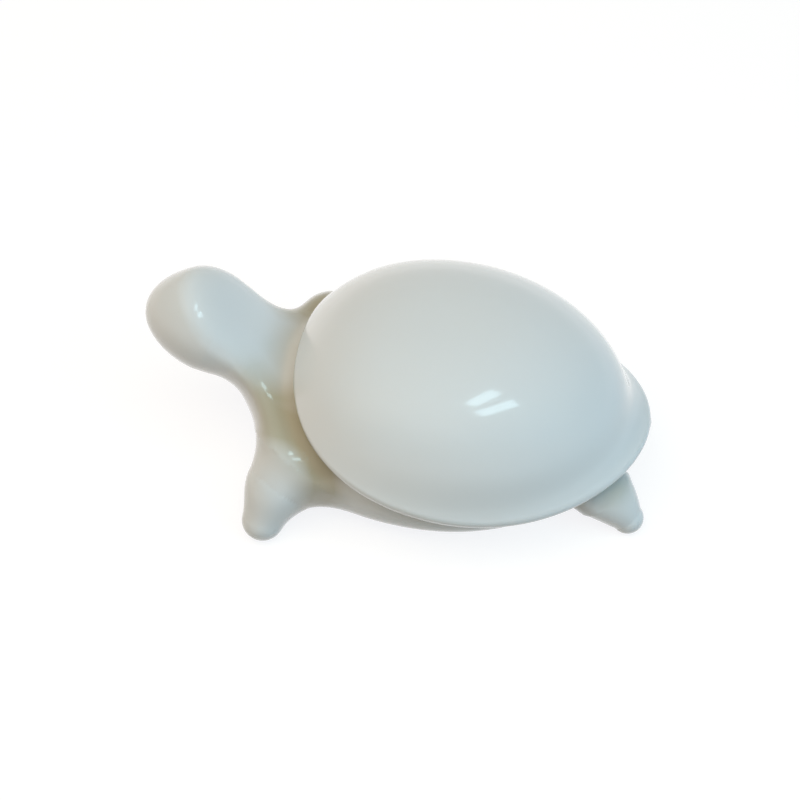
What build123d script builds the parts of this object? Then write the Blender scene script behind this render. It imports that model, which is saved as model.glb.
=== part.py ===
import math
import os

from build123d import *

os.makedirs("parts", exist_ok=True)

# Driving dimensions in millimetres. The head looks along +X and the turtle's left side is +Y.
# Reaches are measured forward from the plumb line under the shell's crown, heights from the ground.

# Shell
shell_front_reach = 66.0
shell_rear_reach = 92.5
shell_half_width = 66.0
crown_height = 80.0
shell_wall = 7.0
lip_round = 2.5
lip_flare_front = 1.7
lip_flare_side = 1.4
lip_flare_rear = 14.3
lip_flare_rise = 7.5
rim_front_height = 53.5
rim_middle_height = 30.0
rim_rear_height = 29.0
plumb_rise = 6.0

# Trough-shaped body under the shell
rim_overhang = 5.0
belly_overhang = 10.0
chest_reach = 11.0
belly_height = 5.5
bilge_radius = 11.5
body_wall = 6.0
vent_radius = 3.5

# Neck and head: setback from the shell's front edge, then lead and lift from each station to the next
neck_root_setback = 19.0
neck_root_height = 22.5
neck_root_half_width = 36.0
neck_root_half_depth = 15.0
neck_base_lead = 20.5
neck_base_lift = 11.5
neck_base_half_width = 25.0
neck_base_half_depth = 17.5
nape_lead = 17.0
nape_lift = 21.0
nape_radius = 17.0
head_lead = 13.0
head_lift = 7.5
head_radius = 19.5
head_half_length = 28.0
neck_wall = 5.0

# Front legs: setback and inset from the shell's edge, then lead, splay and drop from each station to the next
shoulder_setback = 16.0
shoulder_inset = 29.5
shoulder_height = 29.5
shoulder_radius = 23.5
shin_lead = 12.0
shin_splay = 12.0
shin_drop = 12.5
shin_radius = 12.5
front_foot_lead = 3.5
front_foot_splay = 9.0
front_foot_radius = 8.7

# Rear legs: setback and inset from the dome's face, then lead to the rear and splay
hip_setback = 6.7
hip_inset = 41.5
hip_height = 17.5
hip_radius = 13.0
rear_foot_lead = 12.5
rear_foot_splay = 5.0
rear_foot_radius = 6.5

# Depth by which each rounded foot is ground flat to stand on
sole_depth = 0.8

# How far cutting shapes run past what they cut
overrun = 20.0

# Roundness of the dome: exponents of its three profiles and weights of its plan's conic quarters
front_fullness = 2.4
side_fullness = 2.4
rear_fullness = 2.3
front_plan_weight = 0.87
rear_plan_weight = 0.66
body_plan_weight = 0.71

# How far the head looks up, in degrees
head_rise = 26.0

# Turns, in degrees, at which outlines are drawn up the dome and round a limb's blunt end
dome_turns = [11, 22, 33, 44, 55, 66, 78]
tip_turns = [20, 40, 60, 78]

# Shares of the way between two stations of a limb at which it gets further sections
between_shares = [0.33, 0.67]

# Above this height the dome leans in
plumb_height = rim_rear_height + plumb_rise

# Stations of the neck, from inside the chest to the head
neck_root_reach = shell_front_reach - neck_root_setback
neck_base_reach = neck_root_reach + neck_base_lead
neck_base_height = neck_root_height + neck_base_lift
nape_reach = neck_base_reach + nape_lead
nape_height = neck_base_height + nape_lift
head_reach = nape_reach + head_lead
head_height = nape_height + head_lift

# Stations of the legs
shoulder_reach = shell_front_reach - shoulder_setback
shoulder_spread = shell_half_width - shoulder_inset
shin_reach = shoulder_reach + shin_lead
shin_spread = shoulder_spread + shin_splay
shin_height = shoulder_height - shin_drop
front_foot_reach = shin_reach + front_foot_lead
front_foot_spread = shin_spread + front_foot_splay
hip_reach = lip_flare_rear + hip_setback - shell_rear_reach
hip_spread = shell_half_width - hip_inset
rear_foot_reach = hip_reach - rear_foot_lead
rear_foot_spread = hip_spread + rear_foot_splay

# The tilted head's reach in front of its own centre
gaze = Vector(1, 0, 0).rotate(Axis.Y, -head_rise)
head_front = math.hypot(head_half_length * gaze.X, head_radius * gaze.Z)

# The crown stands where the whole figure, from the rear feet to the nose, is centred on the origin
crown_x = (rear_foot_radius - rear_foot_reach - head_reach - head_front) / 2

# Profiles of the dome: reach of the lip, its flare, height of the rim there, fullness
front_profile = (shell_front_reach, lip_flare_front, rim_front_height, front_fullness)
rear_profile = (shell_rear_reach, lip_flare_rear, rim_rear_height, rear_fullness)
side_profile = (shell_half_width, lip_flare_side, rim_middle_height, side_fullness)


def place(reach, spread, height):
    """Point of the figure from its reach, its distance to the left and its height."""
    return Vector(crown_x + reach, spread, height)


def plan_outline(height, front, rear, side, front_weight, rear_weight):
    """Closed plan outline at a height, made of four conic quarters."""
    with BuildSketch(Plane.XY.offset(height)) as outline:
        with BuildLine():
            for end, weight in ((front, front_weight), (-rear, rear_weight)):
                for flank in (side, -side):
                    Bezier(
                        (crown_x + end, 0),
                        (crown_x + end, flank),
                        (crown_x, flank),
                        weights=[1, weight, 1],
                    )
        make_face()
    return outline.sketch


def dome_reach(height, profile, wall):
    """Distance of the dome's face from the crown line; only the outer face, with no wall, flares."""
    reach, flare, rim_height, fullness = profile
    rise = (height - plumb_height) / (crown_height - wall - plumb_height)
    rise = min(max(rise, 0), 1)
    face = (reach - flare - wall) * (1 - rise**fullness) ** (1 / fullness)
    if wall:
        return face
    return face + flare * math.exp(-max(height - rim_height, 0) / lip_flare_rise) * (1 - rise)


def dome_sections(wall):
    """Outlines of the dome's outer face, or of its hollow, from the ground to the crown."""
    top = crown_height - wall
    heights = [0, rim_rear_height / 2, rim_rear_height, rim_rear_height + plumb_rise / 2, plumb_height]
    heights += [plumb_height + (top - plumb_height) * math.sin(math.radians(turn)) for turn in dome_turns]
    outlines = []
    for height in heights:
        reaches = [dome_reach(height, profile, wall) for profile in (front_profile, rear_profile, side_profile)]
        outlines.append(plan_outline(height, *reaches, front_plan_weight, rear_plan_weight))
    return outlines + [Vertex(crown_x, 0, top)]


def trough_outline(height, front, overhang):
    """Plan outline of the body with a given reach in front, set in from the shell's face elsewhere."""
    return plan_outline(
        height,
        front,
        shell_rear_reach - lip_flare_rear - overhang,
        shell_half_width - lip_flare_side - overhang,
        body_plan_weight,
        body_plan_weight,
    )


def section(centre, way, half_width, half_depth):
    """Elliptical section of a limb, square to the limb's way."""
    with BuildSketch(Plane(origin=centre, x_dir=(0, 1, 0), z_dir=way)) as outline:
        Ellipse(half_width, half_depth)
    return outline.sketch


def blunt_end(centre, way, half_width, half_depth, length):
    """Sections of a limb's rounded end, from near its widest place to the point at its tip."""
    sections = []
    for turn in tip_turns:
        narrowing = math.cos(math.radians(turn))
        middle = centre + way * (length * math.sin(math.radians(turn)))
        sections.append(section(middle, way, half_width * narrowing, half_depth * narrowing))
    return sections + [Vertex(*(centre + way * length))]


def limb_sections(stations, root_length, tip_length, end_ways=()):
    """Sections of a neck or leg along a smooth spine, from a blunt end inside the body to a blunt tip."""
    spine = Spline(*[centre for centre, half_width, half_depth in stations], tangents=end_ways)
    marks = [spine.param_at_point(centre) for centre, half_width, half_depth in stations]
    sections = blunt_end(spine @ 0, spine % 0 * -1, *stations[0][1:], root_length)[::-1]
    for index, (centre, half_width, half_depth) in enumerate(stations[:-1]):
        sections.append(section(centre, spine % marks[index], half_width, half_depth))
        next_width, next_depth = stations[index + 1][1:]
        for share in between_shares:
            mark = marks[index] + (marks[index + 1] - marks[index]) * share
            ease = share**2 * (3 - 2 * share)
            width = half_width + (next_width - half_width) * ease
            depth = half_depth + (next_depth - half_depth) * ease
            sections.append(section(spine @ mark, spine % mark, width, depth))
    sections.append(section(spine @ 1, spine % 1, *stations[-1][1:]))
    return sections + blunt_end(spine @ 1, spine % 1, *stations[-1][1:], tip_length)


def neck_sections(wall):
    """Sections of the neck and head, or of their hollow, from inside the chest to the nose."""
    stations = [
        (place(neck_root_reach, 0, neck_root_height), neck_root_half_width, neck_root_half_depth),
        (place(neck_base_reach, 0, neck_base_height), neck_base_half_width, neck_base_half_depth),
        (place(nape_reach, 0, nape_height), nape_radius, nape_radius),
        (place(head_reach, 0, head_height), head_radius, head_radius),
    ]
    end_ways = (stations[1][0] - stations[0][0], gaze)
    thinned = [(centre, half_width - wall, half_depth - wall) for centre, half_width, half_depth in stations]
    return limb_sections(thinned, neck_root_half_depth - wall, head_half_length - wall, end_ways)


def rim_side_view(limit):
    """Side view of all between the rim's curve and a level far above or below it."""
    with BuildSketch(Plane.XZ) as side_view:
        with BuildLine():
            rim = ThreePointArc(
                (crown_x - shell_rear_reach, rim_rear_height),
                (crown_x, rim_middle_height),
                (crown_x + shell_front_reach, rim_front_height),
            )
            rear_end = rim @ 0 - (rim % 0) * overrun
            front_end = rim @ 1 + (rim % 1) * overrun
            Line(rear_end, rim @ 0)
            Line(rim @ 1, front_end)
            Polyline(front_end, (front_end.X, limit), (rear_end.X, limit), rear_end)
        make_face()
    return side_view.sketch


# Side views of all below and of all above the rim
cut_half_width = shell_half_width + overrun
below_rim = rim_side_view(-overrun)
above_rim = rim_side_view(crown_height + overrun)

# Filled shape of the shell, which the neck and legs butt against
outer_dome = dome_sections(0)
with BuildPart() as shell_block:
    loft(sections=outer_dome)
    extrude(below_rim, amount=cut_half_width, both=True, mode=Mode.SUBTRACT)

# Shell: a rounded lip outside, hollow inside
inner_dome = dome_sections(shell_wall)
with BuildPart() as carapace:
    add(shell_block.part)
    fillet(carapace.faces().sort_by(Axis.Z)[0].edges(), lip_round)
    loft(sections=inner_dome, mode=Mode.SUBTRACT)
carapace.part.label = "carapace"
export_step(carapace.part, "parts/carapace.step")

# Filled shape of the body, up to the rim, with a chest that leans back to the shell's lip
trough = [
    trough_outline(belly_height, shell_front_reach + chest_reach, belly_overhang),
    trough_outline(rim_front_height, shell_front_reach, rim_overhang),
    trough_outline(crown_height, shell_front_reach, rim_overhang),
]
with BuildPart() as body_block:
    loft(sections=trough, ruled=True)
    fillet(body_block.faces().sort_by(Axis.Z)[0].edges(), bilge_radius)
    extrude(above_rim, amount=cut_half_width, both=True, mode=Mode.SUBTRACT)

# Filled shape of the neck and head
neck_skin = neck_sections(0)
neck_hollow = neck_sections(neck_wall)
with BuildPart() as neck_block:
    loft(sections=neck_skin)

# Body: hollow, with a way into the neck and a vent hole in the belly
hollow_front = shell_front_reach - shell_wall
trough_hollow = [
    trough_outline(belly_height + body_wall, hollow_front, belly_overhang + body_wall),
    trough_outline(crown_height, hollow_front, rim_overhang + body_wall),
]
with BuildPart() as body:
    add(body_block.part)
    loft(sections=trough_hollow, ruled=True, mode=Mode.SUBTRACT)
    loft(sections=neck_hollow, mode=Mode.SUBTRACT)
    with Locations((crown_x, 0, belly_height)):
        Hole(vent_radius)
body.part.label = "body"
export_step(body.part, "parts/body.step")

# Head and neck: one hollow casting that butts against the chest and the shell's lip
with BuildPart() as head_and_neck:
    add(neck_block.part)
    add(body_block.part, mode=Mode.SUBTRACT)
    add(shell_block.part, mode=Mode.SUBTRACT)
    loft(sections=neck_hollow, mode=Mode.SUBTRACT)
head_and_neck.part.label = "head_and_neck"
export_step(head_and_neck.part, "parts/head_and_neck.step")

# Legs: solid castings with a flat sole, butting against the body, the shell and the neck
front_leg = [
    (shoulder_reach, shoulder_spread, shoulder_height, shoulder_radius),
    (shin_reach, shin_spread, shin_height, shin_radius),
    (front_foot_reach, front_foot_spread, front_foot_radius - sole_depth, front_foot_radius),
]
rear_leg = [
    (hip_reach, hip_spread, hip_height, hip_radius),
    (rear_foot_reach, rear_foot_spread, rear_foot_radius - sole_depth, rear_foot_radius),
]
for name, joints in (("front_leg", front_leg), ("rear_leg", rear_leg)):
    stations = [(place(reach, spread, height), radius, radius) for reach, spread, height, radius in joints]
    leg_skin = limb_sections(stations, joints[0][-1], joints[-1][-1])
    with BuildPart() as leg_block:
        loft(sections=leg_skin)
        split(bisect_by=Plane.XY, keep=Keep.TOP)
    for side in ("left", "right"):
        with BuildPart() as leg:
            add(leg_block.part)
            if side == "right":
                mirror(about=Plane.XZ, mode=Mode.REPLACE)
            for neighbour in (body_block, shell_block, neck_block):
                add(neighbour.part, mode=Mode.SUBTRACT)
        leg.part.label = f"{name}_{side}"
        export_step(leg.part, f"parts/{name}_{side}.step")
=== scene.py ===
"""White glazed ceramic turtle: the looks of its seven castings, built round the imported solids."""

import logging
import math
from dataclasses import dataclass
from enum import Enum
from itertools import product
from typing import Sequence

import bpy
import numpy as np
from mathutils import Matrix, Vector


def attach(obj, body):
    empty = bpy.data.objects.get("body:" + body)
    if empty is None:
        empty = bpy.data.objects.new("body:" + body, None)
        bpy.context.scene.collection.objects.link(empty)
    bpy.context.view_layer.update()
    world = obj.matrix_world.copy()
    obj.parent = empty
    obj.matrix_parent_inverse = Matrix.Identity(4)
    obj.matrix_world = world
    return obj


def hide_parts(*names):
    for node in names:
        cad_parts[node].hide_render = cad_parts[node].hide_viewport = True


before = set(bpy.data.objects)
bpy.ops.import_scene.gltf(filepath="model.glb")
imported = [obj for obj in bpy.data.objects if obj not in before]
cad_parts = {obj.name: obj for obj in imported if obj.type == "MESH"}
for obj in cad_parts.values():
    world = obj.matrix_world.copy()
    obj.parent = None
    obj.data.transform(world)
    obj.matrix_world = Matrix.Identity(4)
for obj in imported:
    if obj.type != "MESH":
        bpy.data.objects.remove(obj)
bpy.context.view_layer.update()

MM = 0.001
QUARTER_TURN = math.pi / 2.0
# Pushes the crown's rise just past one, so that the dome closes there
SNAP = 1.00001
WELD = 1e-6
# Keep quotients and roots away from zero
LEAST = 1e-6
SPECK = 1e-9
SPECK_SQUARE = 1e-12
BODY = "root"
log = logging.getLogger("turtle")

Array = np.ndarray
Colour = tuple[float, float, float, float]
Triple = tuple[float, float, float]


class Casting(Enum):
    """The seven castings, by the names of their solids."""

    CARAPACE = "carapace"
    BODY = "body"
    HEAD = "head_and_neck"
    FRONT_LEFT = "front_leg_left"
    FRONT_RIGHT = "front_leg_right"
    REAR_LEFT = "rear_leg_left"
    REAR_RIGHT = "rear_leg_right"


# Node trees


@dataclass(frozen=True)
class Term:
    """A value in a node tree; ordinary sums on it become Math nodes."""

    tree: bpy.types.NodeTree
    socket: bpy.types.NodeSocket

    def math(self, operation: str, *others: "Term | float") -> "Term":
        """Adds one Math node.

        Args:
            operation: the node's operation.
            others: further operands, terms or plain numbers.

        Returns:
            The node's result.
        """
        node = self.tree.nodes.new("ShaderNodeMath")
        node.operation = operation
        for slot, value in zip(node.inputs, (self, *others)):
            if isinstance(value, Term):
                self.tree.links.new(value.socket, slot)
            else:
                slot.default_value = value
        return Term(self.tree, node.outputs[0])

    def __add__(self, other: "Term | float") -> "Term":
        """Sum."""
        return self.math("ADD", other)

    __radd__ = __add__

    def __sub__(self, other: "Term | float") -> "Term":
        """Difference."""
        return self.math("SUBTRACT", other)

    def __rsub__(self, other: float) -> "Term":
        """Difference from a plain number."""
        return self * -1.0 + other

    def __mul__(self, other: "Term | float") -> "Term":
        """Product."""
        return self.math("MULTIPLY", other)

    __rmul__ = __mul__

    def __truediv__(self, other: "Term | float") -> "Term":
        """Quotient."""
        return self.math("DIVIDE", other)

    def __pow__(self, other: "Term | float") -> "Term":
        """Power."""
        return self.math("POWER", other)

    def between(self, low: "Term | float", high: "Term | float") -> "Term":
        """Value held between two limits."""
        return self.math("MAXIMUM", low).math("MINIMUM", high)

    def towards(self, other: "Term", share: "Term") -> "Term":
        """Value part of the way to another one."""
        return self + (other - self) * share


def ray_kinds(tree: bpy.types.NodeTree) -> tuple[Term, Term]:
    """Adds a Light Path node.

    Args:
        tree: the tree that gets it.

    Returns:
        One for rays straight from the camera, and one for mirrored or passed ones.
    """
    path = tree.nodes.new("ShaderNodeLightPath")
    straight = Term(tree, path.outputs["Is Camera Ray"])
    mirrored = Term(tree, path.outputs["Is Glossy Ray"])
    through = Term(tree, path.outputs["Is Transmission Ray"])
    return straight, mirrored.math("MAXIMUM", through)


# Finishes


@dataclass(frozen=True)
class Glaze:
    """Gloss white glaze over pale clay, with painted shade in the hollows, and ground off the
    soles.
    """

    name: str = "white_glaze"
    colour: Colour = (0.74, 0.74, 0.725, 1.0)
    warm: Colour = (0.75, 0.735, 0.70, 1.0)
    # Painted shade: a dark olive-tan that darkens the valley along the lip and the creases between
    # the castings
    painted_shade: Colour = (0.46, 0.405, 0.28, 1.0)
    clay: Colour = (0.62, 0.58, 0.51, 1.0)
    roughness: float = 0.16
    coat: float = 1.0
    coat_roughness: float = 0.035
    cloud_size: float = 0.045
    cloud_detail: float = 2.0
    ripple_size: float = 0.018
    ripple_detail: float = 1.0
    ripple_height: float = 0.00012

    def material(self) -> bpy.types.Material:
        """Builds the glaze.

        Returns:
            The material.
        """
        material = bpy.data.materials.new(self.name)
        material.use_nodes = True
        tree = material.node_tree
        shader = tree.nodes["Principled BSDF"]
        place = tree.nodes.new("ShaderNodeTexCoord").outputs["Object"]

        clouds = self._noise(tree, place, self.cloud_size, self.cloud_detail)
        tint = tree.nodes.new("ShaderNodeMix")
        tint.data_type = "RGBA"
        tint.inputs["A"].default_value = self.colour
        tint.inputs["B"].default_value = self.warm
        tree.links.new(clouds, tint.inputs["Factor"])

        shade = tint.outputs["Result"]
        # The first layer mixes in painted shade in the valley and creases; the second shows bare
        # clay on the soles
        for layer, colour in (("painted_shade", self.painted_shade), ("bare", self.clay)):
            cover = tree.nodes.new("ShaderNodeMix")
            cover.data_type = "RGBA"
            cover.inputs["B"].default_value = colour
            tree.links.new(shade, cover.inputs["A"])
            spread = tree.nodes.new("ShaderNodeAttribute")
            spread.attribute_name = layer
            tree.links.new(spread.outputs["Fac"], cover.inputs["Factor"])
            shade = cover.outputs["Result"]
        tree.links.new(shade, shader.inputs["Base Color"])

        ripple = self._noise(tree, place, self.ripple_size, self.ripple_detail)
        bump = tree.nodes.new("ShaderNodeBump")
        bump.inputs["Distance"].default_value = self.ripple_height
        bump.inputs["Strength"].default_value = 1.0
        tree.links.new(ripple, bump.inputs["Height"])
        tree.links.new(bump.outputs["Normal"], shader.inputs["Normal"])
        tree.links.new(bump.outputs["Normal"], shader.inputs["Coat Normal"])

        shader.inputs["Roughness"].default_value = self.roughness
        shader.inputs["Coat Weight"].default_value = self.coat
        shader.inputs["Coat Roughness"].default_value = self.coat_roughness
        return material

    @staticmethod
    def _noise(
        tree: bpy.types.NodeTree, place: bpy.types.NodeSocket, size: float, detail: float
    ) -> bpy.types.NodeSocket:
        """Adds a noise texture on the figure's own coordinates.

        Args:
            tree: the material's tree.
            place: the coordinates.
            size: size of the pattern in metres.
            detail: the noise's detail.

        Returns:
            The noise's value.
        """
        noise = tree.nodes.new("ShaderNodeTexNoise")
        noise.inputs["Scale"].default_value = 1.0 / size
        noise.inputs["Detail"].default_value = detail
        tree.links.new(place, noise.inputs["Vector"])
        return noise.outputs["Fac"]


@dataclass(frozen=True)
class PaleFloor:
    """Matt floor that the camera and reflections see as white outside the shadow."""

    name: str = "pale_floor"
    colour: Colour = (0.25, 0.225, 0.175, 1.0)
    glow: Colour = (0.83, 0.838, 0.868, 1.0)
    roughness: float = 0.9
    specular: float = 0.1

    def material(self) -> bpy.types.Material:
        """Builds the floor's finish.

        Returns:
            The material.
        """
        material = bpy.data.materials.new(self.name)
        material.use_nodes = True
        tree = material.node_tree
        shader = tree.nodes["Principled BSDF"]
        shader.inputs["Base Color"].default_value = self.colour
        shader.inputs["Roughness"].default_value = self.roughness
        shader.inputs["Specular IOR Level"].default_value = self.specular
        straight, mirrored = ray_kinds(tree)
        seen = straight.math("MAXIMUM", mirrored)
        shader.inputs["Emission Color"].default_value = self.glow
        tree.links.new(seen.socket, shader.inputs["Emission Strength"])
        return material


# Shell


@dataclass
class Shell:
    """The carapace: a dome with a rounded lip, flared out at the tail. Sizes in millimetres."""

    crown_x: float = -16.79
    front_reach: float = 69.9
    rear_reach: float = 103.1
    half_width: float = 69.6
    lip_front: float = 66.2
    lip_rear: float = 88.9
    lip_side: float = 65.9
    crown_height: float = 79.9
    plumb_height: float = 35.0
    front_flare: float = 4.4
    side_flare: float = 6.6
    rear_flare: float = 25.0
    flare_rise: float = 8.0
    tail_rise: float = 4.0
    front_rim: float = 53.6
    middle_rim: float = 30.1
    rear_rim: float = 29.1
    front_fullness: float = 2.39
    side_fullness: float = 2.6
    rear_fullness: float = 2.26
    front_weight: float = 0.87
    rear_weight: float = 0.69
    lip_radius: float = 4.2
    tail_lip_radius: float = 2.3
    wall: float = 7.0
    around: int = 288
    along: int = 150
    face_share: float = 0.66
    lip_share: float = 0.14
    under_share: float = 0.25
    rim_rounds: int = 3
    lean_step: float = 0.5

    def rim_circle(self) -> Triple:
        """Circle through the rim's rear, middle and front points in side view.

        Returns:
            Its centre's reach and height, and its radius.
        """
        rear = (-self.lip_rear, self.rear_rim)
        middle = (0.0, self.middle_rim)
        front = (self.lip_front, self.front_rim)
        points = np.array([rear, middle, front])
        sums = np.column_stack([2.0 * points, np.ones(len(points))])
        reach, height, rest = np.linalg.solve(sums, (points**2).sum(1))
        return float(reach), float(height), float(math.sqrt(rest + reach**2 + height**2))

    def rim_height(self, x: Array) -> Array:
        """Height of the rim's curve over places along the figure."""
        reach, height, radius = self.rim_circle()
        return height - np.sqrt(np.maximum(radius**2 - (x - self.crown_x - reach) ** 2, 0.0))

    def outside(self, points: Array) -> Array:
        """Level distance of points outside the lip's plan outline, negative inside it.

        Args:
            points: places in millimetres, one a row.

        Returns:
            One distance a point.
        """
        x, y = points[:, 0] - self.crown_x, points[:, 1]
        front = x > 0.0
        weight = np.where(front, self.front_weight, self.rear_weight)
        c = np.abs(x) / np.where(front, self.lip_front, self.lip_rear)
        s = np.abs(y) / self.lip_side
        square = 1.0 - 4.0 * weight**2
        middle = (c + s) * (2.0 * weight**2 - 1.0)
        rest = (c + s) ** 2 - 4.0 * weight**2 * c * s
        ratio = (-middle - np.sqrt(np.maximum(middle**2 - square * rest, 0.0))) / square
        return (ratio - 1.0) * np.hypot(x, y) / np.maximum(ratio, LEAST)

    def sizes(self) -> dict[str, float]:
        """Named inputs of the shell's node tree.

        Returns:
            One value a name, lengths in millimetres.
        """
        reach, height, radius = self.rim_circle()
        return {
            "Crown X": self.crown_x,
            "Front Reach": self.front_reach,
            "Rear Reach": self.rear_reach,
            "Half Width": self.half_width,
            "Crown Height": self.crown_height,
            "Plumb Height": self.plumb_height,
            "Front Flare": self.front_flare,
            "Side Flare": self.side_flare,
            "Rear Flare": self.rear_flare,
            "Flare Rise": self.flare_rise,
            "Tail Rise": self.tail_rise,
            "Middle Rim": self.middle_rim,
            "Front Fullness": self.front_fullness,
            "Side Fullness": self.side_fullness,
            "Rear Fullness": self.rear_fullness,
            "Front Weight": self.front_weight,
            "Rear Weight": self.rear_weight,
            "Rim Centre Reach": reach,
            "Rim Centre Height": height,
            "Rim Radius": radius,
            "Lip Radius": self.lip_radius,
            "Tail Lip Radius": self.tail_lip_radius,
            "Wall": self.wall,
        }

    def build(self, glaze: bpy.types.Material) -> bpy.types.Object:
        """Makes the shell from its rule by Geometry Nodes.

        Args:
            glaze: the finish.

        Returns:
            The finished piece.
        """
        sizes = self.sizes()
        tree = bpy.data.node_groups.new("shell_rule", "GeometryNodeTree")
        sockets = tree.interface
        sockets.new_socket("Geometry", in_out="OUTPUT", socket_type="NodeSocketGeometry")
        marks = {
            name: sockets.new_socket(name, in_out="INPUT", socket_type="NodeSocketFloat")
            for name in sizes
        }
        entry = tree.nodes.new("NodeGroupInput")
        given = {name: Term(tree, entry.outputs[name]) for name in sizes}

        grid = tree.nodes.new("GeometryNodeMeshGrid")
        grid.inputs["Vertices X"].default_value = self.around + 1
        grid.inputs["Vertices Y"].default_value = self.along
        place = tree.nodes.new("ShaderNodeSeparateXYZ")
        start = tree.nodes.new("GeometryNodeInputPosition")
        tree.links.new(start.outputs[0], place.inputs[0])
        u, v = (Term(tree, place.outputs[axis]) + 0.5 for axis in range(2))
        target = tree.nodes.new("ShaderNodeCombineXYZ")
        for slot, value in zip(target.inputs, self._rule(given, u, v)):
            tree.links.new((value * MM).socket, slot)

        move = tree.nodes.new("GeometryNodeSetPosition")
        merge = tree.nodes.new("GeometryNodeMergeByDistance")
        merge.inputs["Distance"].default_value = WELD
        flip = tree.nodes.new("GeometryNodeFlipFaces")
        smooth = tree.nodes.new("GeometryNodeSetShadeSmooth")
        realize = tree.nodes.new("GeometryNodeRealizeInstances")
        dress = tree.nodes.new("GeometryNodeSetMaterial")
        dress.inputs["Material"].default_value = glaze
        leave = tree.nodes.new("NodeGroupOutput")
        tree.links.new(target.outputs[0], move.inputs["Position"])
        chain = (grid, move, merge, flip, smooth, realize, dress, leave)
        for before, after in zip(chain, chain[1:]):
            tree.links.new(before.outputs[0], after.inputs[0])

        maker = bpy.data.objects.new("shell_maker", bpy.data.meshes.new("shell_maker"))
        bpy.context.scene.collection.objects.link(maker)
        modifier = maker.modifiers.new("shell_rule", "NODES")
        modifier.node_group = tree
        for name, mark in marks.items():
            modifier[mark.identifier] = sizes[name]
        return settle(maker, Casting.CARAPACE)

    def _rule(self, given: dict[str, Term], u: Term, v: Term) -> tuple[Term, Term, Term]:
        """The dome's rule: a place on the shell for each place on a unit grid.

        Args:
            given: the tree's named inputs.
            u: share of the way round the shell.
            v: share of the way from the crown over the lip and up inside.

        Returns:
            The three coordinates in millimetres.
        """
        turn = u * math.tau
        ahead = turn.math("COSINE").math("SIGN")
        left = turn.math("SINE").math("SIGN")
        front = ahead * 0.5 + 0.5
        weight = given["Rear Weight"].towards(given["Front Weight"], front)
        k = (u * 4.0).math("PINGPONG", 1.0)
        back = 1.0 - k
        bulge = weight * 2.0 * k * back
        whole = back * back + bulge + k * k
        c, s = (back * back + bulge) / whole, (bulge + k * k) / whole

        def reach_of(side: str, size: str, height: Term, above: Term) -> Term:
            """Reach of one profile of the outer face.

            Args:
                side: Front, Side or Rear.
                size: name of the profile's reach at its foot.
                height: height of the place.
                above: its height above the rim.

            Returns:
                The reach.
            """
            plumb, crown = given["Plumb Height"], given["Crown Height"]
            rise = ((height - plumb) / (crown - plumb) * SNAP).between(0.0, 1.0)
            full = given[f"{side} Fullness"]
            flare = given[f"{side} Flare"]
            dome = (1.0 - rise**full).math("MAXIMUM", 0.0) ** (full**-1.0)
            face = (given[size] - flare) * dome
            rise_of = given["Tail Rise" if side == "Rear" else "Flare Rise"]
            return face + flare * (above / rise_of * -1.0).math("EXPONENT") * (1.0 - rise)

        def reaches(height: Term, above: Term) -> tuple[Term, Term]:
            """Reaches of the outer face along and across the figure.

            Args:
                height: height of the place.
                above: its height above the rim.

            Returns:
                The two reaches.
            """
            rear = reach_of("Rear", "Rear Reach", height, above)
            ends = rear.towards(reach_of("Front", "Front Reach", height, above), front)
            return ends, reach_of("Side", "Half Width", height, above)

        rim = given["Middle Rim"]
        for _ in range(self.rim_rounds):
            along = reaches(rim, rim * 0.0)[0] * c * ahead - given["Rim Centre Reach"]
            drop = (given["Rim Radius"] ** 2.0 - along * along).math("SQRT")
            rim = given["Rim Centre Height"] - drop

        step = self.lean_step
        tail = (1.0 - front) * c * c
        lip = given["Lip Radius"].towards(given["Tail Lip Radius"], tail)
        low_ends, low_sides = reaches(rim + lip, lip)
        high_ends, high_sides = reaches(rim + lip + step, lip + step)
        slope = ((low_ends - high_ends) * c * c + (low_sides - high_sides) * s * s) / step
        lean = slope.math("ARCTANGENT")
        start = rim + lip * (lean.math("SINE") + 1.0)

        inner_share = 1.0 - self.face_share - self.lip_share
        down = (v / self.face_share).between(0.0, 1.0)
        round_lip = ((v - self.face_share) / self.lip_share).between(0.0, 1.0)
        inner = ((v - self.face_share - self.lip_share) / inner_share).between(0.0, 1.0)
        under = (inner / self.under_share).between(0.0, 1.0)
        up = ((inner - self.under_share) / (1.0 - self.under_share)).between(0.0, 1.0)

        crown = given["Crown Height"]
        face_height = start + (crown - start) * (down * QUARTER_TURN).math("COSINE")
        ends, sides = reaches(face_height, face_height - rim)
        angle = (lean * -1.0).towards(lean * 0.0 + QUARTER_TURN, round_lip)
        inset = lip * (lean.math("COSINE") - angle.math("COSINE"))
        drop = lip * (lean.math("SINE") * -1.0 - angle.math("SINE"))
        top = crown - given["Wall"]
        climb = (top - rim) * (up * QUARTER_TURN).math("SINE")
        height = face_height + drop + climb

        def hollow_of(side: str, size: str) -> Term:
            """Reach of one profile of the hollow at the height of a place inside.

            Args:
                side: Front, Side or Rear.
                size: name of the outer profile's reach at its foot.

            Returns:
                The reach.
            """
            plumb = given["Plumb Height"]
            rise = ((height - plumb) / (top - plumb) * SNAP).between(0.0, 1.0)
            full = given[f"{side} Fullness"]
            plain = given[size] - given[f"{side} Flare"] - given["Wall"]
            return plain * (1.0 - rise**full).math("MAXIMUM", 0.0) ** (full**-1.0)

        hollow_rear = hollow_of("Rear", "Rear Reach")
        hollow_ends = hollow_rear.towards(hollow_of("Front", "Front Reach"), front)
        ends = (ends - inset).towards(hollow_ends, under)
        sides = (sides - inset).towards(hollow_of("Side", "Half Width"), under)
        return given["Crown X"] + ends * c * ahead, sides * s * left, height


# Flesh


@dataclass(frozen=True)
class Station:
    """A place along the neck or a leg, measured from under the crown. Sizes in millimetres."""

    reach: float
    spread: float
    height: float
    half_width: float
    half_depth: float = 0.0

    def centre(self, crown_x: float) -> Array:
        """The place in the figure's frame."""
        return np.array((crown_x + self.reach, self.spread, self.height))


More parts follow.
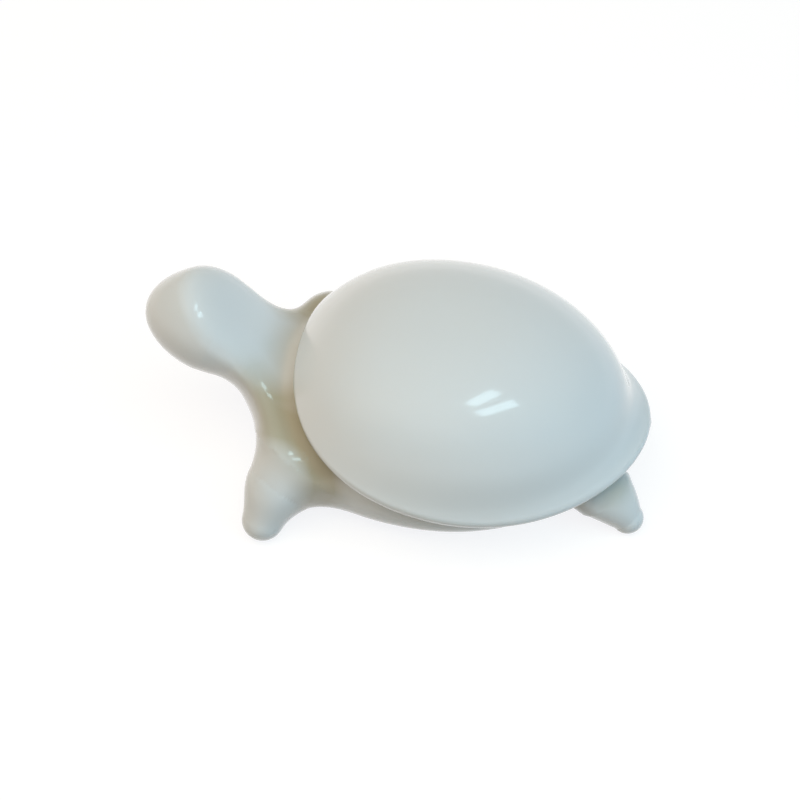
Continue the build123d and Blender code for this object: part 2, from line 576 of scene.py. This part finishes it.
def blend(a: Array, b: Array, width: float) -> Array:
    """Smooth union of two distances.

    Args:
        a: the first distance.
        b: the second one.
        width: difference between them up to which they blend.

    Returns:
        The distance from both.
    """
    near = np.maximum(width - np.abs(a - b), 0.0) / width
    return np.minimum(a, b) - near * near * width * 0.25


def carve(a: Array, b: Array, width: float) -> Array:
    """Smooth intersection of two distances over a blending width."""
    return -blend(-a, -b, width)


@dataclass
class Flesh:
    """Body, neck, head and legs, which flow into one another. Sizes in millimetres."""

    shell: Shell
    neck: tuple[Station, ...] = (
        Station(47.0, 0.0, 24.3, 32.8, 15.1),
        Station(61.8, 0.0, 40.2, 23.1, 16.7),
        Station(83.9, 0.0, 58.2, 15.1, 15.1),
        Station(94.6, 0.0, 64.1, 18.4, 18.4),
    )
    head: Station = Station(94.6, 0.0, 64.1, 20.5, 30.3)
    head_slope: float = 0.11
    front_leg: tuple[Station, ...] = (
        Station(54.6, 41.5, 29.0, 15.9),
        Station(60.9, 49.0, 21.6, 9.8),
        Station(65.4, 56.9, 7.9, 8.7),
    )
    rear_leg: tuple[Station, ...] = (
        Station(-73.6, 25.1, 15.5, 13.0),
        Station(-82.8, 28.2, 6.0, 6.8),
    )
    trough_inset: float = 7.1
    flank_inset: float = 8.5
    chest: float = 19.3
    belly: float = 7.2
    chest_square: float = 2.01
    tail_square: float = 2.0
    tuck: float = 5.2
    top_blend: float = 20.0
    bilge_blend: float = 15.0
    neck_blend: float = 10.0
    head_blend: float = 12.0
    shin_blend: float = 11.0
    root_blend: float = 18.0
    hip_blend: float = 10.0
    valley_depth: float = 1.0
    valley_turn: float = 60.0
    valley_width: float = 3.0
    valley_blend: float = 14.0
    front_slope: float = 0.45
    rear_slope: float = -0.5
    inner_slope: float = 1.0
    vent_radius: float = 3.5
    vent_depth: float = 8.0
    vent_round: float = 1.0
    bare_height: float = 0.6
    # Depth, reach and spread of the painted shade in the valley along the lip and in the shoulders'
    # creases
    shade_depth: float = 5.0
    shade_width: float = 7.0
    shade_spread: float = 40.0
    shade_least: float = 0.35
    crease_depth: float = 2.6
    crease_width: float = 20.0
    crease_spread: float = 26.0
    step: float = 1.3
    net_low: Triple = (-112.0, -74.0, -4.0)
    net_high: Triple = (112.0, 74.0, 92.0)
    settle_rounds: int = 4
    finish_rounds: int = 2
    relax_rounds: int = 6
    relax_share: float = 0.6
    patch_rounds: int = 4
    seam_margin: float = 0.05
    seam_depth: float = 7.0

    def tube(self, points: Array, stations: Sequence[Station], width: float) -> Array:
        """Distance from a limb of round or oval section through its stations.

        Args:
            points: places in millimetres, one a row.
            stations: the limb's stations; a half depth of zero means a round limb.
            width: blending width between its lengths.

        Returns:
            One distance a point.
        """
        whole = None
        for a, b in zip(stations, stations[1:]):
            start = a.centre(self.shell.crown_x)
            way = b.centre(self.shell.crown_x) - start
            share = np.clip((points - start) @ way / (way @ way), 0.0, 1.0)
            off = points - start - share[:, None] * way
            wide = a.half_width + (b.half_width - a.half_width) * share
            if a.half_depth:
                depth = a.half_depth + (b.half_depth - a.half_depth) * share
                across = points[:, 1] / wide
                square = ((off * (1.0, 0.0, 1.0)) ** 2).sum(1)
                ratio = np.sqrt(square / depth**2 + across**2) + SPECK
                rate = np.sqrt(square / depth**4 + (across / wide) ** 2 + SPECK_SQUARE)
                length = (ratio - 1.0) * ratio / rate
            else:
                length = np.linalg.norm(off, axis=1) - wide
            whole = length if whole is None else blend(whole, length, width)
        return whole

    def egg(self, points: Array) -> Array:
        """Distance from the egg-shaped head.

        Args:
            points: places in millimetres, one a row.

        Returns:
            One distance a point.
        """
        deep, wide = self.head.half_depth, self.head.half_width
        way = np.array((1.0, 0.0, self.head_slope)) / math.hypot(1.0, self.head_slope)
        off = points - self.head.centre(self.shell.crown_x)
        along = off @ way
        across = (off**2).sum(1) - along**2
        ratio = np.sqrt(along**2 / deep**2 + across / wide**2) + SPECK
        rate = np.sqrt(along**2 / deep**4 + across / wide**4 + SPECK_SQUARE)
        return (ratio - 1.0) * ratio / rate

    def trough(self, points: Array) -> Array:
        """Distance from the rounded trough under the shell.

        Args:
            points: places in millimetres, one a row.

        Returns:
            One distance a point.
        """
        shell = self.shell
        x, y, z = points[:, 0] - shell.crown_x, points[:, 1], points[:, 2]
        ends = np.where(
            x > 0.0,
            shell.lip_front - self.trough_inset + self.chest,
            shell.rear_reach - shell.rear_flare - self.trough_inset,
        )
        sides = shell.lip_side - self.flank_inset
        square = np.where(x > 0.0, self.chest_square, self.tail_square)
        along, across = (np.abs(x) / ends) ** square, (np.abs(y) / sides) ** square
        ratio = (along + across + SPECK) ** (1.0 / square)
        level = (1.0 - 1.0 / ratio) * np.hypot(x, y)
        over = z - shell.rim_height(points[:, 0]) - self.tuck
        return carve(carve(level, over, self.top_blend), self.belly - z, self.bilge_blend)

    def parts(self, points: Array) -> dict[Casting, Array]:
        """Distance from each casting by itself.

        Args:
            points: places in millimetres, one a row.

        Returns:
            One distance a point, for each casting of the flesh.
        """
        right = points * (1.0, -1.0, 1.0)
        neck = self.tube(points, self.neck, self.neck_blend)
        return {
            Casting.BODY: self.trough(points),
            Casting.HEAD: blend(neck, self.egg(points), self.head_blend),
            Casting.FRONT_LEFT: self.tube(points, self.front_leg, self.shin_blend),
            Casting.FRONT_RIGHT: self.tube(right, self.front_leg, self.shin_blend),
            Casting.REAR_LEFT: self.tube(points, self.rear_leg, self.shin_blend),
            Casting.REAR_RIGHT: self.tube(right, self.rear_leg, self.shin_blend),
        }

    def merged(self, points: Array) -> Array:
        """Distance from all the castings of the flesh, with soft junctions.

        Args:
            points: places in millimetres, one a row.

        Returns:
            One distance a point, negative inside.
        """
        part = self.parts(points)
        whole = blend(part[Casting.HEAD], part[Casting.BODY], self.root_blend)
        for leg in (Casting.FRONT_LEFT, Casting.FRONT_RIGHT):
            whole = blend(whole, part[leg], self.root_blend)
        for leg in (Casting.REAR_LEFT, Casting.REAR_RIGHT):
            whole = blend(whole, part[leg], self.hip_blend)
        return whole

    def skirt(self, points: Array) -> Array:
        """Height over a valley along the lip, which climbs to the neck and falls away behind.

        Args:
            points: places in millimetres, one a row.

        Returns:
            One height a point.
        """
        x, z = points[:, 0], points[:, 2]
        out = self.shell.outside(points)
        front = np.clip((x - self.shell.crown_x) / self.valley_turn + 0.5, 0.0, 1.0)
        turn = front * front * (3.0 - 2.0 * front)
        slope = self.rear_slope + (self.front_slope - self.rear_slope) * turn
        soft = np.hypot(out, self.valley_width) - self.valley_width
        climb = np.where(out > 0.0, slope, self.inner_slope) * soft
        over = z - self.shell.rim_height(x) + self.valley_depth - climb
        return over / math.hypot(1.0, self.front_slope)

    def distance(self, points: Array) -> Array:
        """Distance from the flesh, kept under the shell's lip and ground flat on its soles.

        Args:
            points: places in millimetres, one a row.

        Returns:
            One distance a point, negative inside.
        """
        whole = carve(self.merged(points), self.skirt(points), self.valley_blend)
        return np.maximum(carve(whole, -self.vent(points), self.vent_round), -points[:, 2])

    def shade_share(self, points: Array) -> Array:
        """Share of painted shade, put into the valley along the lip and the shoulders' creases.

        Args:
            points: places in millimetres, one a row.

        Returns:
            One share a point.
        """
        merged = self.merged(points)
        away = np.maximum(self.shell.outside(points), 0.0)
        aside = np.abs(points[:, 1])
        valley = np.clip(-merged / self.shade_depth, 0.0, 1.0)
        valley *= np.exp(-((away / self.shade_width) ** 2))
        valley *= np.clip(aside / self.shade_spread, self.shade_least, 1.0)
        # Painted shade also goes into the creases where the castings blend into one another
        fillet = np.min(list(self.parts(points).values()), axis=0) - merged
        crease = np.clip(fillet / self.crease_depth, 0.0, 1.0)
        crease *= np.exp(-((away / self.crease_width) ** 2))
        crease *= np.clip(aside / self.crease_spread, 0.0, 1.0) ** 2
        return np.maximum(valley, crease)

    def vent(self, points: Array) -> Array:
        """Distance from the blind vent hole in the belly."""
        level = np.hypot(points[:, 0] - self.shell.crown_x, points[:, 1])
        return np.maximum(level - self.vent_radius, points[:, 2] - self.belly - self.vent_depth)

    def gradient(self, points: Array, reach: float = 0.02) -> Array:
        """Direction and rate at which the distance grows.

        Args:
            points: places in millimetres, one a row.
            reach: how far to each side the distance is taken.

        Returns:
            One direction a point.
        """
        ways = np.eye(3) * reach
        sides = [self.distance(points + way) - self.distance(points - way) for way in ways]
        return np.stack(sides, 1) / (2.0 * reach)

    def settle_on_skin(self, points: Array, rounds: int) -> Array:
        """Moves points onto the skin along the distance's own slope.

        Args:
            points: places in millimetres, one a row.
            rounds: number of moves.

        Returns:
            The moved points.
        """
        for _ in range(rounds):
            slope = self.gradient(points)
            share = self.distance(points) / np.maximum((slope**2).sum(1), LEAST)
            points = points - slope * share[:, None]
        return points

    def net(self) -> tuple[Array, Array]:
        """Meshes the skin over a grid of cells, one vertex in each cell that it crosses.

        Returns:
            Vertices in millimetres, and triangles.
        """
        axes = [np.arange(a, b, self.step) for a, b in zip(self.net_low, self.net_high)]
        grid = np.stack(np.meshgrid(*axes, indexing="ij"), -1)
        value = self.distance(grid.reshape(-1, 3)).reshape(grid.shape[:3])
        inside = value < 0.0
        nx, ny, nz = inside.shape
        corners = [
            inside[i : nx - 1 + i, j : ny - 1 + j, k : nz - 1 + k]
            for i, j, k in product((0, 1), repeat=3)
        ]
        count = np.sum(corners, axis=0)
        mixed = (count > 0) & (count < len(corners))
        number = np.full(mixed.shape, -1)
        number[mixed] = np.arange(mixed.sum())
        points = np.array(self.net_low) + (np.argwhere(mixed) + 0.5) * self.step
        quads = []
        for axis in range(3):
            first = np.moveaxis(inside, axis, 0)
            cross = first[:-1] != first[1:]
            out = first[:-1] & ~first[1:]
            index = np.moveaxis(number, axis, 0)
            a, b, c = np.nonzero(cross[:, 1:-1, 1:-1])
            around = ((0, 0), (1, 0), (1, 1), (0, 1))
            ring = np.stack([index[a, b + i, c + j] for i, j in around], 1)
            keep = out[:, 1:-1, 1:-1][a, b, c] ^ (axis == 1)
            quads.append(np.where(keep[:, None], ring, ring[:, ::-1]))
        quads = np.concatenate(quads)
        points = self.settle_on_skin(points, self.settle_rounds)
        triangles = np.concatenate([quads[:, [0, 1, 2]], quads[:, [0, 2, 3]]])
        return self._relax(points, quads), triangles

    def _relax(self, points: Array, quads: Array) -> Array:
        """Evens out the vertices of the net, which stay on the skin.

        Args:
            points: vertices in millimetres.
            quads: the net's faces.

        Returns:
            The moved vertices.
        """
        edges = np.concatenate([quads[:, [i, (i + 1) % 4]] for i in range(4)])
        keep = 1.0 - self.relax_share
        for _ in range(self.relax_rounds):
            total = np.zeros_like(points)
            tally = np.zeros(len(points))
            np.add.at(total, edges[:, 0], points[edges[:, 1]])
            np.add.at(total, edges[:, 1], points[edges[:, 0]])
            np.add.at(tally, edges.ravel(), 1.0)
            eased = points * keep + total / tally[:, None] * self.relax_share
            points = self.settle_on_skin(eased, 1)
        return self.settle_on_skin(points, self.finish_rounds)

    def whole_patches(self, table: Array, triangles: Array) -> Array:
        """Gives each vertex to its nearest casting, with no stray patches.

        Args:
            table: distance of each vertex from each casting.
            triangles: the skin's faces.

        Returns:
            Number of each vertex's casting.
        """
        table = table.copy()
        edges = np.concatenate([triangles[:, [i, (i + 1) % 3]] for i in range(3)])
        for _ in range(self.patch_rounds):
            label = table.argmin(1)
            inner = edges[label[edges[:, 0]] == label[edges[:, 1]]]
            patch = np.arange(len(table))
            while True:
                low = patch.copy()
                np.minimum.at(low, inner[:, 0], patch[inner[:, 1]])
                np.minimum.at(low, inner[:, 1], patch[inner[:, 0]])
                low = low[low]
                if (low == patch).all():
                    break
                patch = low
            size = np.bincount(patch, minlength=len(table))[patch]
            kinds = range(table.shape[1])
            largest = np.array([size[label == kind].max() for kind in kinds])
            stray = size < largest[label]
            if not stray.any():
                break
            table[stray, label[stray]] = np.inf
        return label

    def cut(self) -> dict[Casting, tuple[Array, Array]]:
        """Cuts the skin into its castings along the valleys where they meet.

        Returns:
            Vertices in millimetres and triangles of each casting, open at its seams.
        """
        points, triangles = self.net()
        names = [c for c in Casting if c is not Casting.CARAPACE]
        part = self.parts(points)
        table = np.stack([part[name] for name in names], 1)
        label = self.whole_patches(table, triangles)
        extra: list[Array] = []
        made: dict[tuple[int, int], int] = {}
        faces: list[list[tuple[int, int, int]]] = [[] for _ in names]

        def seam(i: int, j: int) -> int:
            """Makes the vertex where an edge crosses the seam, once for each edge.

            Args:
                i: number of the edge's one end.
                j: number of its other end.

            Returns:
                The vertex's number.
            """
            key = (min(i, j), max(i, j))
            if key not in made:
                a, b = label[key[0]], label[key[1]]
                start = table[key[0], b] - table[key[0], a]
                end = table[key[1], b] - table[key[1], a]
                share = max(start / (start - end), self.seam_margin)
                share = min(share, 1.0 - self.seam_margin)
                extra.append(points[key[0]] * (1.0 - share) + points[key[1]] * share)
                made[key] = len(points) + len(extra) - 1
            return made[key]

        kinds = label[triangles]
        same = (kinds[:, 0] == kinds[:, 1]) & (kinds[:, 1] == kinds[:, 2])
        for kind in range(len(names)):
            faces[kind] = [tuple(t) for t in triangles[same & (kinds[:, 0] == kind)].tolist()]
        mixed = zip(triangles[~same].tolist(), kinds[~same].tolist())
        for (a, b, c), (la, lb, lc) in mixed:
            if len({la, lb, lc}) == 3:
                middle = len(points) + len(extra)
                extra.append((points[a] + points[b] + points[c]) / 3.0)
                ab, bc, ca = seam(a, b), seam(b, c), seam(c, a)
                faces[la] += [(a, ab, middle), (a, middle, ca)]
                faces[lb] += [(b, bc, middle), (b, middle, ab)]
                faces[lc] += [(c, ca, middle), (c, middle, bc)]
                continue
            while lb != lc:
                a, b, c, la, lb, lc = b, c, a, lb, lc, la
            ab, ca = seam(a, b), seam(c, a)
            faces[la].append((a, ab, ca))
            faces[lb] += [(ab, b, c), (ab, c, ca)]
        seams = self.settle_on_skin(np.array(extra), self.finish_rounds)
        every = np.concatenate([points, seams])
        return {name: (every, np.array(faces[kind])) for kind, name in enumerate(names)}

    def build(self, glaze: bpy.types.Material) -> list[bpy.types.Object]:
        """Makes the six castings of the flesh.

        Args:
            glaze: the finish.

        Returns:
            The finished pieces.
        """
        pieces = []
        for casting, (points, triangles) in self.cut().items():
            used, flat = np.unique(triangles, return_inverse=True)
            points, triangles = points[used], flat.reshape(-1, 3)
            normals = self.gradient(points)
            normals /= np.linalg.norm(normals, axis=1)[:, None]
            points, triangles, normals = self._close_seams(points, triangles, normals)
            mesh = bpy.data.meshes.new(casting.value)
            mesh.from_pydata((points * MM).tolist(), [], triangles.tolist())
            mesh.polygons.foreach_set("use_smooth", np.ones(len(triangles), bool))
            # Bare clay on the soles, and painted shade in the valley and creases
            layers = {
                "bare": 1.0 - points[:, 2] / self.bare_height,
                "painted_shade": self.shade_share(points),
            }
            for layer, cover in layers.items():
                values = np.clip(cover, 0.0, 1.0).astype(np.float32)
                mesh.attributes.new(layer, "FLOAT", "POINT").data.foreach_set("value", values)
            mesh.materials.append(glaze)
            mesh.normals_split_custom_set_from_vertices(normals.tolist())
            pieces.append(enrol(mesh, casting))
        return pieces

    def _close_seams(
        self, points: Array, triangles: Array, normals: Array
    ) -> tuple[Array, Array, Array]:
        """Closes each open seam of a casting with a fan inside the figure.

        Args:
            points: vertices in millimetres.
            triangles: faces, open at the seams.
            normals: one direction a vertex.

        Returns:
            Vertices, faces and directions with the fans added.
        """
        edges = np.concatenate([triangles[:, [i, (i + 1) % 3]] for i in range(3)])
        present = {tuple(e) for e in edges.tolist()}
        follow = {b: a for a, b in present if (b, a) not in present}
        fans, hubs = [], []
        while follow:
            first = next(iter(follow))
            loop = [first]
            while loop[-1] in follow:
                loop.append(follow.pop(loop[-1]))
            hub = len(points) + len(hubs)
            outward = normals[loop[:-1]].mean(0)
            inset = outward / np.linalg.norm(outward) * self.seam_depth
            hubs.append(points[loop[:-1]].mean(0) - inset)
            fans += [(a, b, hub) for a, b in zip(loop, loop[1:])]
        if not hubs:
            return points, triangles, normals
        upward = np.tile((0.0, 0.0, 1.0), (len(hubs), 1))
        return (
            np.concatenate([points, hubs]),
            np.concatenate([triangles, fans]),
            np.concatenate([normals, upward]),
        )


# Pieces and stage


def settle(maker: bpy.types.Object, casting: Casting) -> bpy.types.Object:
    """Turns what a maker's modifiers give into a plain piece.

    Args:
        maker: the object with the modifiers, which is removed.
        casting: the casting that the piece stands for.

    Returns:
        The piece.
    """
    bpy.context.view_layer.update()
    graph = bpy.context.evaluated_depsgraph_get()
    shape = bpy.data.meshes.new_from_object(maker.evaluated_get(graph))
    bpy.data.objects.remove(maker)
    return enrol(shape, casting)


def enrol(shape: bpy.types.Mesh, casting: Casting) -> bpy.types.Object:
    """Makes a piece of a finished mesh, hangs it on its body, hides its solid, and reports it.

    Args:
        shape: the finished mesh.
        casting: the casting that the piece stands for.

    Returns:
        The piece.
    """
    piece = bpy.data.objects.new(f"{casting.value}_skin", shape)
    bpy.context.scene.collection.objects.link(piece)
    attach(piece, BODY)
    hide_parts(casting.value)
    log.info("%s: %d faces", piece.name, len(piece.data.polygons))
    return piece


@dataclass(frozen=True)
class Lamp:
    """A flat lamp that faces the figure. Places and sizes in metres, power in watts.

    The direction of its length is given only for a lamp that shows in reflections.
    """

    name: str
    place: Triple
    size: tuple[float, float]
    power: float
    colour: Triple
    along: Triple | None = None

    def hang(self, target: Vector) -> None:
        """Hangs the lamp.

        Args:
            target: the place that it faces, in metres.
        """
        light = bpy.data.lights.new(self.name, "AREA")
        light.shape = "RECTANGLE"
        light.size, light.size_y = self.size
        light.energy = self.power
        light.color = self.colour
        lamp = bpy.data.objects.new(self.name, light)
        bpy.context.scene.collection.objects.link(lamp)
        place = Vector(self.place)
        outward = (place - target).normalized()
        if self.along is None:
            turn = outward.to_track_quat("Z", "Y").to_matrix()
            lamp.visible_glossy = False
        else:
            across = outward.cross(Vector(self.along)).normalized()
            turn = Matrix((across.cross(outward), across, outward)).transposed()
        lamp.matrix_world = Matrix.LocRotScale(place, turn.to_quaternion(), None)


WINDOW = (0.62, 0.9, 1.0)
SOFT = (0.7, 0.7)


@dataclass
class Studio:
    """Floor, lamps and camera. The camera's place is in millimetres, the stage in metres."""

    azimuth: float = 189.85
    elevation: float = 44.94
    target: Triple = (1.03, 0.0, 29.88)
    distance: float = 650.0
    focal: float = 1530.46
    frame_width: float = 800.0
    sensor: float = 36.0
    nearest: float = 0.01
    floor_half: float = 3.0
    ambient: float = 0.17
    ambient_tint: Colour = (1.0, 0.94, 0.8, 1.0)
    backdrop: Colour = (1.0, 1.0, 1.0, 1.0)
    backdrop_top: float = 0.8
    lamps: tuple[Lamp, ...] = (
        Lamp("pane_upper", (-0.335, 0.002, 1.223), (0.34, 0.12), 0.45, WINDOW,
             (-0.137, -0.311, -0.04)),
        Lamp("pane_lower", (-0.497, 0.148, 1.158), (0.42, 0.14), 0.65, WINDOW,
             (-0.251, -0.326, -0.066)),
        Lamp("cool", (-0.8, 0.35, 0.7), SOFT, 4.6, (0.26, 0.68, 1.0)),
        Lamp("warm", (0.6, 0.35, 1.0), SOFT, 3.3, (1.0, 0.8, 0.53)),
        Lamp("top", (0.0, 0.35, 1.1), (0.8, 0.8), 3.6, (0.95, 0.98, 1.0)),
        Lamp("front", (-0.05, 0.8, 0.9), SOFT, 2.5, (0.93, 0.98, 1.0)),
        Lamp("far", (0.3, -0.85, 0.5), SOFT, 1.4, (1.0, 0.98, 0.94)),
    )

    def back(self) -> Vector:
        """Direction from the figure towards the camera."""
        a, e = math.radians(self.azimuth), math.radians(self.elevation)
        return Vector((math.sin(a) * math.cos(e), -math.cos(a) * math.cos(e), math.sin(e)))

    def build(self) -> None:
        """Sets the whole stage."""
        self._camera()
        self._floor()
        self._world()
        for lamp in self.lamps:
            lamp.hang(Vector(self.target) * MM)

    def _camera(self) -> None:
        """Places the camera at the photograph's angle."""
        lens = bpy.data.cameras.new("camera")
        lens.sensor_width = self.sensor
        lens.lens = self.focal / self.frame_width * self.sensor
        lens.clip_start = self.nearest
        camera = bpy.data.objects.new("camera", lens)
        bpy.context.scene.collection.objects.link(camera)
        camera.location = (Vector(self.target) + self.back() * self.distance) * MM
        camera.rotation_euler = self.back().to_track_quat("Z", "Y").to_euler()
        bpy.context.scene.camera = camera

    def _floor(self) -> None:
        """Lays the pale floor."""
        half = self.floor_half
        corners = [(-half, -half, 0), (half, -half, 0), (half, half, 0), (-half, half, 0)]
        mesh = bpy.data.meshes.new("floor")
        mesh.from_pydata(corners, [], [(0, 1, 2, 3)])
        mesh.materials.append(PaleFloor().material())
        floor = bpy.data.objects.new("floor", mesh)
        bpy.context.scene.collection.objects.link(floor)

    def _world(self) -> None:
        """Soft warm light all round, and a white backdrop that fades upwards in reflections."""
        world = bpy.data.worlds.new("studio")
        bpy.context.scene.world = world
        world.use_nodes = True
        tree = world.node_tree
        shade = tree.nodes["Background"]
        straight, mirrored = ray_kinds(tree)
        way = tree.nodes.new("ShaderNodeSeparateXYZ")
        around = tree.nodes.new("ShaderNodeTexCoord").outputs["Generated"]
        tree.links.new(around, way.inputs[0])
        fade = (1.0 - Term(tree, way.outputs["Z"]) / self.backdrop_top).between(0.0, 1.0)
        white = straight.math("MAXIMUM", mirrored * fade * fade)
        strength = white * (1.0 - self.ambient) + self.ambient
        tree.links.new(strength.socket, shade.inputs["Strength"])
        tint = tree.nodes.new("ShaderNodeMix")
        tint.data_type = "RGBA"
        tint.inputs["A"].default_value = self.ambient_tint
        tint.inputs["B"].default_value = self.backdrop
        tree.links.new(straight.math("MAXIMUM", mirrored).socket, tint.inputs["Factor"])
        tree.links.new(tint.outputs["Result"], shade.inputs["Color"])


def main() -> None:
    """Builds the castings and the stage."""
    logging.basicConfig(level=logging.INFO, format="%(name)s %(message)s")
    glaze = Glaze().material()
    shell = Shell()
    shell.build(glaze)
    Flesh(shell).build(glaze)
    Studio().build()
    bpy.context.scene.view_settings.view_transform = "Standard"


if __name__ == "__main__":
    main()
